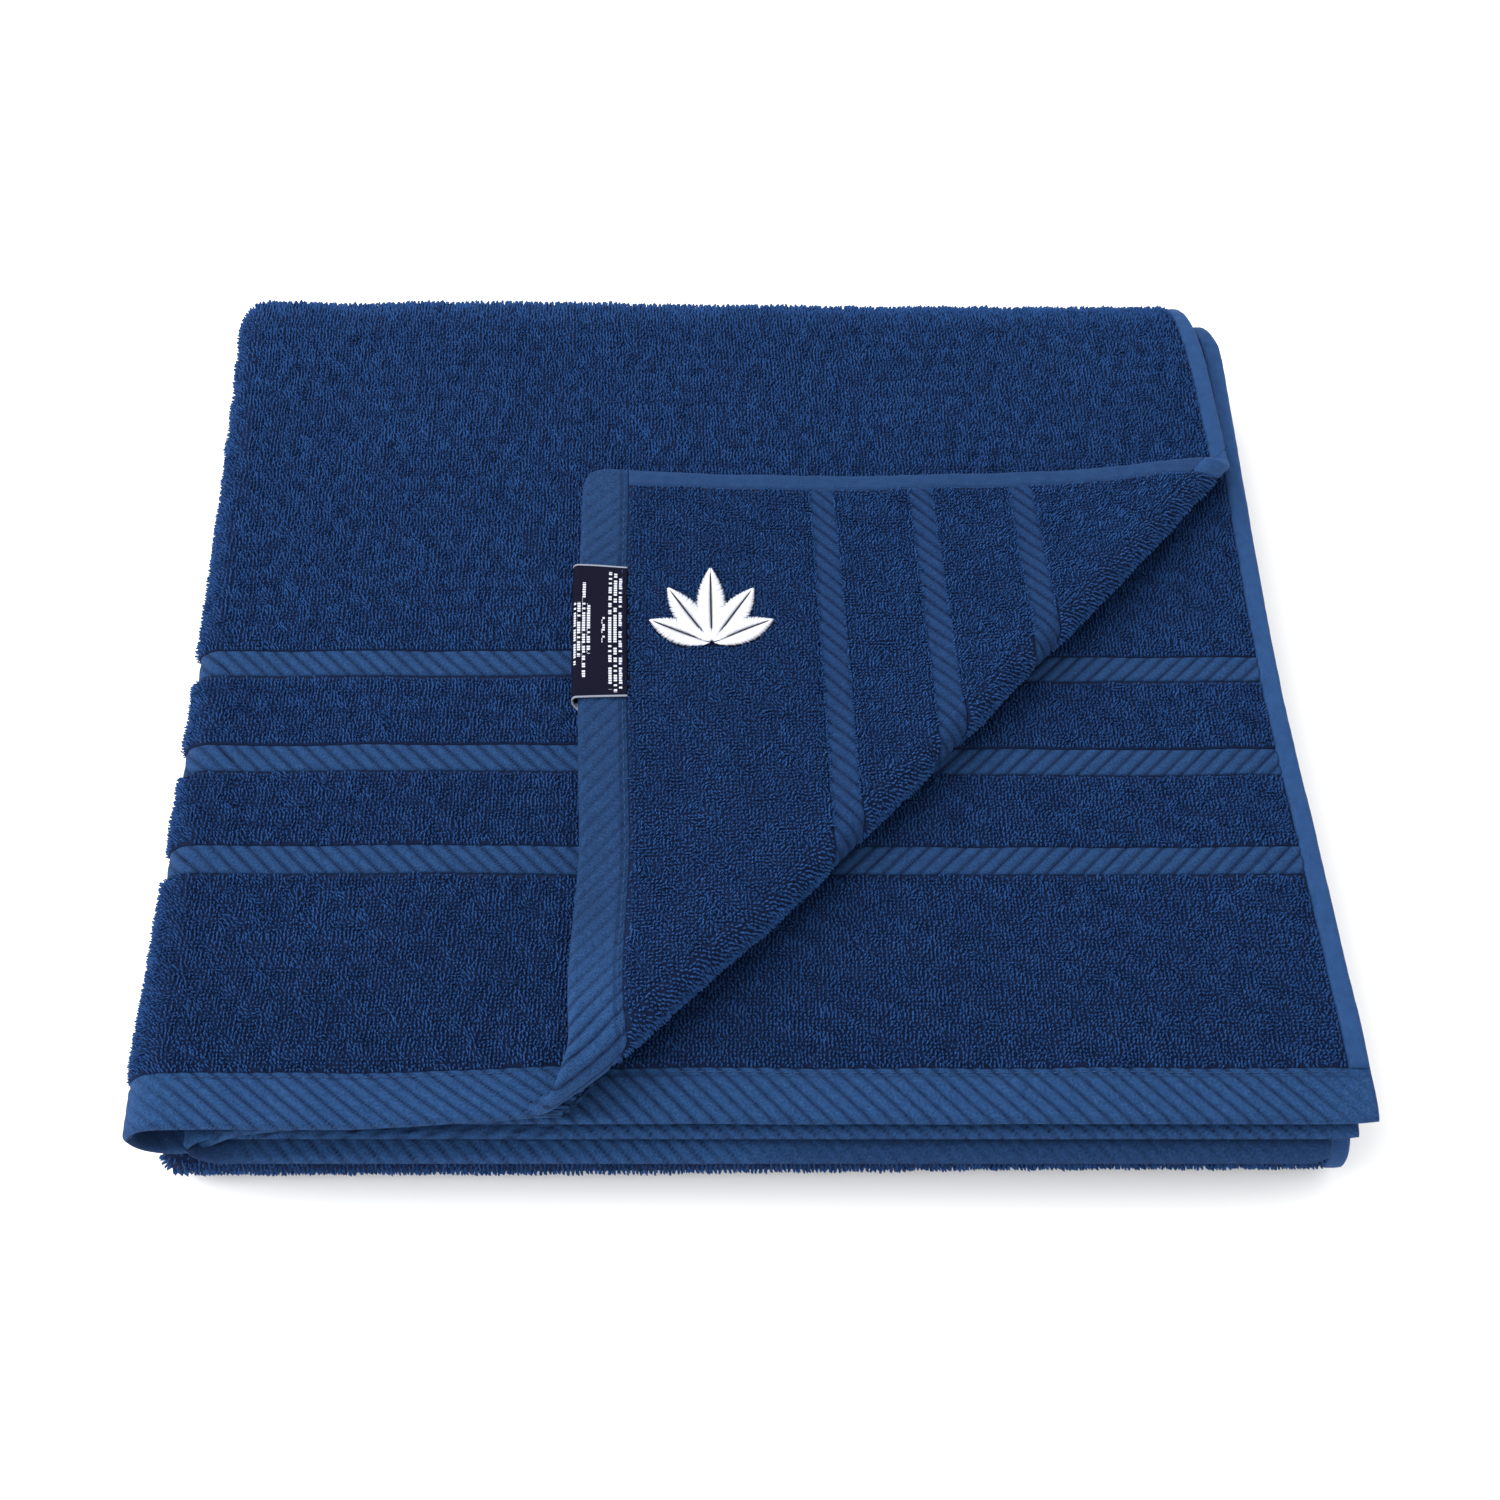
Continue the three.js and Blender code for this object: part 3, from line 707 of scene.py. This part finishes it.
# Pile: the terry loops, cotton warp yarn standing up from both sides of the ground with both feet woven in.
# Neighbours lean together in patches. The loops that show are closest together.
LOOP_HIGH, LOOP_WIDE, YARN = 1.6, 0.85, 0.35
SHOWN = (LOOP_HIGH, LOOP_WIDE, YARN)
COVERED = (LOOP_HIGH, LOOP_WIDE * 1.8, YARN * 1.8)
PRESSED = (LOOP_HIGH * 0.8, LOOP_WIDE * 1.8, YARN * 1.8)
LOOP_FOOT = GROUND - 0.3
RINGS = 3
MOST_LOOPS = 16000


def loops(name, u, v, side, shape, seed, material, part):
    """Bent tubes standing on the folded cloth at places (u, v). A tube's middle line is a half ellipse between two
    feet; it is turned about its own post, leans over, and its three sides lie at a yarn's radius round it."""
    rng = np.random.default_rng(seed)
    count, (high, wide, yarn) = len(u), shape
    base = towel(u, v, side * LOOP_FOOT)
    up = towel(u, v, side * (LOOP_FOOT + 0.4)) - base
    up /= np.linalg.norm(up, axis=1, keepdims=True)
    along = towel(u, v + 0.3, side * LOOP_FOOT) - base
    along -= (along * up).sum(1, keepdims=True) * up
    along /= np.linalg.norm(along, axis=1, keepdims=True)
    across = np.cross(up, along)
    heading = 0.35 * swell(u, v, 9, seed + 1) + rng.normal(0, 0.38, count)
    lean = 0.22 * swell(u, v, 10, seed + 2) + rng.normal(0, 0.13, count)
    tilt = 0.22 * swell(u, v, 10, seed + 3) + rng.normal(0, 0.13, count)
    size = (1 + 0.13 * swell(u, v, 12, seed + 4) + rng.normal(0, 0.1, count))[:, None]
    ahead = np.cos(heading)[:, None] * along + np.sin(heading)[:, None] * across
    beside = np.cross(up, ahead)
    post = up + lean[:, None] * along + tilt[:, None] * across
    points = np.empty((count, RINGS, 3, 3), np.float32)
    for ring, t in enumerate(np.linspace(0, np.pi, RINGS)):
        middle = base - ahead * size * wide / 2 * math.cos(t) + post * size * high * math.sin(t)
        forward = ahead * wide / 2 * math.sin(t) + post * high * math.cos(t)
        forward /= np.linalg.norm(forward, axis=1, keepdims=True)
        outward = np.cross(beside, forward)
        for corner, w in enumerate(np.linspace(0, 2 * np.pi, 3, endpoint=False)):
            points[:, ring, corner] = middle + yarn * (math.cos(w) * beside + math.sin(w) * outward)
    first = (np.arange(RINGS - 1)[:, None] * 3 + np.arange(3)).ravel()
    after = (np.arange(RINGS - 1)[:, None] * 3 + (np.arange(3) + 1) % 3).ravel()
    tube = np.stack([first, after, after + 3, first + 3], -1)
    pieces = math.ceil(count / MOST_LOOPS)
    for number, share in enumerate(np.array_split(np.arange(count), pieces), 1):
        starts = np.arange(len(share)) * RINGS * 3
        corners = (starts[:, None, None] + tube).reshape(-1, 4)
        places = np.repeat(np.stack([u[share], v[share]], -1), RINGS * 3, axis=0)
        made = piece_from(f"{name}_{number}", points[share].reshape(-1, 3), corners, material, places)
        lay(made, part)


def spread(across, along, pitch, seed):
    """Places on the flat towel: rows and columns a pitch apart, each place shifted at random by part of the pitch."""
    rng = np.random.default_rng(seed)
    columns, rows = (np.arange(low + pitch / 2, high, pitch) for low, high in (across, along))
    u, v = (grid.ravel() for grid in np.meshgrid(columns, rows))
    return u + rng.uniform(-SHIFT, SHIFT, u.size) * pitch, v + rng.uniform(-SHIFT, SHIFT, u.size) * pitch


SHIFT = 0.22


def in_pile(u, v, clearance=0.4):
    """True where the towel has loops: clear of hems, and of bands by a clearance, or over them where it is negative."""
    from_end = np.minimum(v, TOWEL_LONG - v)
    clear = (u > SIDE_HEM + 0.5) & (u < TOWEL_WIDE - SIDE_HEM - 0.5) & (from_end > END_HEM + 0.5)
    for start in BAND_STARTS:
        clear &= (from_end < start - clearance) | (from_end > start + BAND + clearance)
    return clear


# The motif's petals, which stand where no loops are: a fan of pointed petals on one root. A petal's half width is a
# parabola along its length.
MOTIF_WIDE, MOTIF_HIGH, PETALS, PETAL_SPREAD = 43.0, 32.0, 5, 66.0
ROOT_ALONG, ROOT_ACROSS = 46.5, 59.0 + MOTIF_HIGH / 2
PETAL_WIDE = 0.3 * MOTIF_HIGH
MOTIF_MARGIN = 0.4


def petal_shape(i):
    """A petal's length and its turn from the upright: the outer ones end on the motif's width."""
    share = abs(i - PETALS // 2) / (PETALS // 2)
    side = MOTIF_WIDE / 2 / math.sin(math.radians(PETAL_SPREAD))
    return MOTIF_HIGH + (side - MOTIF_HIGH) * share, math.radians(PETAL_SPREAD) * (i / (PETALS // 2) - 1)


def under_motif(u, v):
    """True under a petal of the motif and a little way round it."""
    covered = np.zeros(u.shape, bool)
    for i in range(PETALS):
        length, turn = petal_shape(i)
        x, y = v - ROOT_ALONG, ROOT_ACROSS - u
        beside, up = x * math.cos(turn) - y * math.sin(turn), x * math.sin(turn) + y * math.cos(turn)
        t = np.clip(up / length, 0, 1)
        within = (up > -MOTIF_MARGIN) & (up < length + MOTIF_MARGIN)
        covered |= (np.abs(beside) < 2 * t * (1 - t) * PETAL_WIDE + 0.45) & within
    return covered


def terry(name, dark, light):
    """Looped cotton: light and dark from yarn to yarn, and a little from patch to patch."""
    yarn = Finish(name, Roughness=0.9, Sheen_Weight=0.15, Sheen_Roughness=0.5, Sheen_Tint=SHEEN, Specular_IOR_Level=0.1)
    patches, grain = yarn.noise(yarn.place(), 60.0) - 0.5, yarn.noise(yarn.place(), 1500.0) - 0.5
    return yarn.finish(yarn.mix(patches * 0.4 + grain * 2.2 + 0.5, dark, light))


TERRY = terry("terry_loops", (8, 29, 65), (37, 75, 129))
CORNER_TERRY = terry("corner_terry_loops", (11, 34, 73), (42, 83, 140))
FINE, MIDDLING, SPARSE = 1.19, 2.0, 2.5
COVERED_IN, COVERED_ARC = 8, -14
ROUND_TOP = math.pi * CREASE_ROLL


def past(u, v):
    """The places as folded flat, to the right and back, and how far past the start of the crease's round they lie."""
    a, b = doubled(u, v, 0 * u)[:2]
    return a, b, past_crease(a, b)[0]


def under_corner(a, b, arc):
    """True where the turned corner lies on the top ply."""
    return (a > CREASE_X + COVERED_IN) & (b < FRONT + CORNER_LEG - COVERED_IN) & (arc < COVERED_ARC)


# On the top ply: the part that shows, and more thinly the part under the turned corner.
u, v = spread((SIDE_HEM, HALF_WIDE + 22), (END_HEM, REACHED[1] + 14), FINE, 21)
a, b, arc = past(u, v)
top = (u < HALF_WIDE - 40) & (v < CORNER_REACH)
shows = in_pile(u, v) & (np.where(top, arc, -1) < 0) & ~(top & under_corner(a, b, arc))
loops("field_pile_top", u[shows], v[shows], 1, SHOWN, 31, TERRY, "stack")
u, v = spread((SIDE_HEM, HALF_WIDE - 40), (END_HEM, CORNER_REACH), SPARSE, 28)
covered = in_pile(u, v) & under_corner(*past(u, v))
loops("covered_pile", u[covered], v[covered], 1, COVERED, 39, TERRY, "stack")

# On the corner's upper side, over the crease, and on its under side.
u, v = spread((SIDE_HEM, CORNER_REACH), (END_HEM, CORNER_REACH), FINE, 22)
arc = past(u, v)[2]
flap = in_pile(u, v, -1.3) & (arc > ROUND_TOP) & ~under_motif(u, v)
roll = in_pile(u, v) & (arc > -1) & (arc <= ROUND_TOP)
loops("corner_pile_upper", u[flap], v[flap], -1, SHOWN, 32, CORNER_TERRY, "corner")
loops("roll_pile", u[roll], v[roll], -1, SHOWN, 33, CORNER_TERRY, "roll")
u, v = spread((SIDE_HEM, CORNER_REACH), (END_HEM, CORNER_REACH), SPARSE, 23)
arc = past(u, v)[2]
flap = in_pile(u, v) & (arc > ROUND_TOP)
roll = in_pile(u, v) & (arc > 0) & (arc <= ROUND_TOP)
loops("corner_pile_under", u[flap], v[flap], 1, PRESSED, 34, TERRY, "corner")
loops("roll_pile_under", u[roll], v[roll], 1, PRESSED, 40, TERRY, "roll")

# On the second ply, where the turned corner bares it.
u, v = spread((HALF_WIDE + 100, TOWEL_WIDE), (END_HEM, CORNER_REACH), FINE, 24)
bare = in_pile(u, v) & (past(u, v)[2] > -9)
loops("second_ply_pile", u[bare], v[bare], -1, SHOWN, 35, TERRY, "stack")

# Round the outside of the folds: the front fold near the floor, the back, and the creases at the left.
fold = TOWEL_LONG / 2 + 23
u, v = spread((SIDE_HEM, HALF_WIDE - 9), (fold - 16, fold + 16), FINE * 1.25, 27)
loops("under_fold_pile", u, v, 1, (LOOP_HIGH * 0.8, LOOP_WIDE * 1.3, YARN * 1.2), 38, TERRY, "stack")
u, v = spread((SIDE_HEM, HALF_WIDE - 9), (REACHED[1] + 14, REACHED[2] + 6), MIDDLING, 25)
loops("back_pile", u, v, 1, (LOOP_HIGH, LOOP_WIDE * 1.6, YARN * 1.6), 36, TERRY, "stack")
u, v = spread((HALF_WIDE - 9, HALF_WIDE + 9), (REACHED[1] + 14, TOWEL_LONG - END_HEM), MIDDLING * 0.9, 26)
kept = in_pile(u, v)
loops("left_pile", u[kept], v[kept], 1, (LOOP_HIGH, LOOP_WIDE * 1.4, YARN * 1.4), 37, TERRY, "stack")

# Seams: two-ply cotton thread in short straight stitches along the inner edge of the hems.
STITCH, STITCH_STEP = 2.3, 2.9
THREAD = 0.2
THREAD_SIDES = 4
THREAD_END = 0.35
SEAM_ALONG = END_HEM - SEAM_IN
SEAM_ACROSS = SIDE_HEM - 1.4


def threads(name, u, v, rise, radius, material):
    """Round threads on the folded cloth: each row of u, v and rise is one thread's middle line, its sides stand a
    radius off it, turned evenly round it, and its ends taper."""
    middle = towel(u, v, rise)
    up = towel(u, v, rise + np.where(rise < 0, -0.3, 0.3)) - middle
    up /= np.linalg.norm(up, axis=-1, keepdims=True)
    forward = np.gradient(middle, axis=1)
    forward /= np.linalg.norm(forward, axis=-1, keepdims=True)
    beside = np.cross(forward, up)
    count, rings = u.shape
    taper = np.ones(rings)
    taper[[0, -1]] = THREAD_END
    taper = taper[None, :, None]
    turns = np.linspace(0, 2 * np.pi, THREAD_SIDES, endpoint=False)
    points = np.stack([middle + radius * taper * (math.cos(t) * beside + math.sin(t) * up) for t in turns], 2)
    ring, corner = np.arange(rings - 1)[:, None] * THREAD_SIDES, np.arange(THREAD_SIDES)
    now, after = ring + corner, ring + (corner + 1) % THREAD_SIDES
    tube = np.stack([now, now + THREAD_SIDES, after + THREAD_SIDES, after], -1).reshape(-1, 4)
    tube = np.concatenate([tube, [corner], [corner[::-1] + (rings - 1) * THREAD_SIDES]])
    starts = np.arange(count) * rings * THREAD_SIDES
    corners = (starts[:, None, None] + tube).reshape(-1, 4)
    places = np.repeat(np.stack([u, v], -1).reshape(-1, 2), THREAD_SIDES, axis=0)
    return piece_from(name, points.reshape(-1, 3), corners, material, places)


def seam(name, node, across, along, rise, part):
    """A row of stitches from one place to another, each a low arch with its ends in the cloth."""
    distance = math.hypot(across[1] - across[0], along[1] - along[0])
    share = (np.arange(int(distance / STITCH_STEP)) + 0.5) * STITCH_STEP / distance
    reach = np.linspace(-0.5, 0.5, 5) * STITCH / distance
    at = share[:, None] + reach
    arch = rise * (1 - 0.35 * np.abs(np.linspace(-1, 1, 5)) ** 3) + 0 * at
    made = threads(name, across[0] + at * (across[1] - across[0]), along[0] + at * (along[1] - along[0]), arch, THREAD,
                   THREAD_FINISH)
    lay(made, part, node)


cotton_thread = Finish("sewing_thread", Roughness=0.6, Sheen_Weight=0.1, Sheen_Tint=SHEEN, Specular_IOR_Level=0.3)
thread_shade = cotton_thread.noise(cotton_thread.place(), 900.0)
THREAD_FINISH = cotton_thread.finish(cotton_thread.mix(thread_shade, (20, 46, 86), (34, 66, 110)))
LABEL_ACROSS = (43.4, 95.8)
LABEL_CLEAR = 0.5
FLAP_END = CORNER_LEG - 32
HEM_SEAMS = (("end_hem_seam_left", (CORNER_LEG + 12, HALF_WIDE - 18), 2.2, "stack"),
             ("end_hem_seam_right", (HALF_WIDE + 168, TOWEL_WIDE - SIDE_HEM), -2.2, "stack"),
             ("corner_hem_seam_front", (LABEL_ACROSS[1] + LABEL_CLEAR, FLAP_END), -2.2, "corner"),
             ("corner_hem_seam_back", (SIDE_HEM, LABEL_ACROSS[0] - LABEL_CLEAR), -2.2, "corner"))
for node, across, rise, part in HEM_SEAMS:
    seam(f"{node}_stitches", node, across, (SEAM_ALONG, SEAM_ALONG), rise, part)
seam("corner_side_seam_stitches", None, (SEAM_ACROSS, SEAM_ACROSS), (END_HEM, CORNER_LEG - 10), -2.0, "corner")
seam("second_ply_side_seam_stitches", None, (TOWEL_WIDE - SEAM_ACROSS, TOWEL_WIDE - SEAM_ACROSS), (END_HEM, 300), -2.0,
     "stack")

# Label: a dark woven ribbon folded round the end hem's edge, with one leaf on each side of the hem and one seam through
# both. Its ends are heat-cut, and its pattern is plain rows of dashes: each row's place in from the edge, and its
# start and end as shares of the label.
LABEL_THICK = 0.5
LABEL_RISE = 2.75
LABEL_BULGE = 2.0
LABEL_IN = END_HEM + 0.1
LABEL_LONG = LABEL_ACROSS[1] - LABEL_ACROSS[0]
LABEL_SLIP = 3.0
ROWS = ((-1.2, 0.29, 0.76), (0.5, 0.29, 0.70), (2.2, 0.14, 0.86), (3.9, 0.30, 0.68), (9.0, 0.40, 0.60),
        (11.3, 0.05, 0.95), (13.1, 0.06, 0.97), (14.9, 0.09, 0.97))
ROW_HALF = 0.55
DASH_STEP, DASH_SHARE, DASHES_LEFT_OUT = 0.95, 0.74, 0.22
DASH_ROWS_STEP = 1.75
CUT_EDGE = 0.55


def label_line(offset):
    """The ribbon's section: in along the upper leaf, a half ellipse round the hem's edge, out along the lower leaf.
    Gives each point's place along the towel, its rise, and its distance on the ribbon's own map."""
    turn = np.linspace(0, np.pi, 15)
    upper, lower = np.linspace(LABEL_IN, 0.5, 30), np.linspace(0.5, LABEL_IN, 14)
    high = LABEL_RISE + offset
    v = np.concatenate([upper, -(LABEL_BULGE + offset) * np.sin(turn), lower])
    rise = np.concatenate([0 * upper - high, -high * np.cos(turn), 0 * lower + high])
    mapped = np.concatenate([upper, -np.linspace(0, 9, 15), -10 - lower])
    return v, rise, mapped


def label_finish():
    """Navy satin with a fine weft rib, pale cut edges and rows of pale dashes: cells along the ribbon, some empty."""
    satin = Finish("label_satin", Roughness=0.8, Specular_IOR_Level=0.05)
    across, along = satin.cloth()
    rows = 0
    first, length = LABEL_ACROSS[0] * MM, LABEL_LONG * MM
    for place, start, end in ROWS:
        in_row = along.within((place - ROW_HALF) * MM, (place + ROW_HALF) * MM)
        rows = rows + in_row * across.within(first + start * length, first + end * length)
    cell, line = across * (1 / DASH_STEP / MM), along * (1 / DASH_ROWS_STEP / MM)
    spot = satin.node("ShaderNodeCombineXYZ", None, [cell.maths("FLOOR"), line.maths("FLOOR"), 0.0])
    chosen = satin.node("ShaderNodeTexWhiteNoise", {"noise_dimensions": "2D"}, {"Vector": spot}) > DASHES_LEFT_OUT
    dashes = rows * chosen * (1 - (cell.maths("FRACT") > DASH_SHARE))
    ends = 1 - across.within((LABEL_ACROSS[0] + CUT_EDGE) * MM, (LABEL_ACROSS[1] - CUT_EDGE) * MM)
    under = 1 - (along > -9.5 * MM)
    weft = along.wave(0.0005)
    ribbon = satin.mix(weft, (10, 10, 24), (17, 17, 36))
    pale = satin.mix(dashes * 0.85, ribbon, (206, 210, 222))
    cut = satin.mix(ends * 0.8, pale, (150, 156, 170))
    return satin.finish(satin.mix(under * 0.6, cut, (96, 102, 116)), weft, 0.35, 0.0002)


face_v, face_rise, mapped = label_line(LABEL_THICK / 2)
back_v, back_rise = label_line(-LABEL_THICK / 2)[:2]
u_label = np.linspace(*LABEL_ACROSS, 61)
slip = LABEL_SLIP * soft_step(-(mapped + 4) / 8)[:, None]
u_grid = u_label + slip * (u_label - LABEL_ACROSS[0]) / LABEL_LONG
ripple = 0.12 * np.sin(u_grid * 0.35) * soft_step(mapped / 6)[:, None]
label = closed("care_label_ribbon", towel(u_grid, face_v[:, None], face_rise[:, None] - ripple),
               towel(u_grid, back_v[:, None], back_rise[:, None] - ripple), u_grid,
               mapped[:, None] * np.ones_like(u_grid), label_finish())[0]
lay(label, "corner", "care_label")
seam("label_seam_stitches", "label_seam", (LABEL_ACROSS[0] + LABEL_CLEAR, LABEL_ACROSS[1] - LABEL_CLEAR),
     (SEAM_ALONG, SEAM_ALONG), -LABEL_RISE - LABEL_THICK / 2 - 0.1, "corner")

# Motif: a generic fan of five pointed petals in white satin stitch, embroidered through the turned corner's pile. Each
# petal has two halves of slanted threads that meet on its middle line.
SATIN_STEP = 0.46
SATIN_THREAD = 0.26
SATIN_RISE = 2.75
SATIN_ARCH = 0.55
SATIN_SLANT = 0.075
PETAL_OVERLAP = 0.12


def petal_threads(i):
    """Middle lines of one petal's threads: low arches from the petal's middle out to its edge, a little further on."""
    length, turn = petal_shape(i)
    t = np.arange(0.03, 0.93, SATIN_STEP / length)
    t_edge = t + SATIN_SLANT
    ragged = 1 + 0.05 * np.sin(np.arange(len(t)) * 2.4 + i) + 0.03 * np.sin(np.arange(len(t)) * 5.1)
    half = 2 * t_edge * (1 - t_edge) * PETAL_WIDE * ragged
    reach = np.linspace(0, 1, 6)
    x = 0.25 + half[:, None] * reach
    y = length * (t[:, None] + (t_edge - t)[:, None] * reach)
    nearer_middle = PETALS // 2 - abs(i - PETALS // 2)
    arch = SATIN_RISE + SATIN_ARCH * np.sin(np.pi * (0.12 + 0.88 * reach)) + PETAL_OVERLAP * nearer_middle + 0 * x
    rows = []
    for side in (-1, 1):
        beside = side * x * math.cos(turn) + y * math.sin(turn)
        up = -side * x * math.sin(turn) + y * math.cos(turn)
        rows.append((ROOT_ACROSS - up, ROOT_ALONG + beside, -arch))
    return [np.concatenate(part) for part in zip(*rows)]


rayon = Finish("motif_thread", Roughness=0.4, Sheen_Weight=0.1, Specular_IOR_Level=0.45)
thread_shade = rayon.noise(rayon.place(), 1100.0)
MOTIF_FINISH = rayon.finish(rayon.mix(thread_shade, (188, 191, 202), (228, 230, 238)))
petals = [np.concatenate(part) for part in zip(*(petal_threads(i) for i in range(PETALS)))]
motif = threads("embroidered_motif_threads", *petals, SATIN_THREAD, MOTIF_FINISH)
lay(motif, "corner", "embroidered_motif")

(TOWEL_LONG - 2 * FIELD_START) * MM
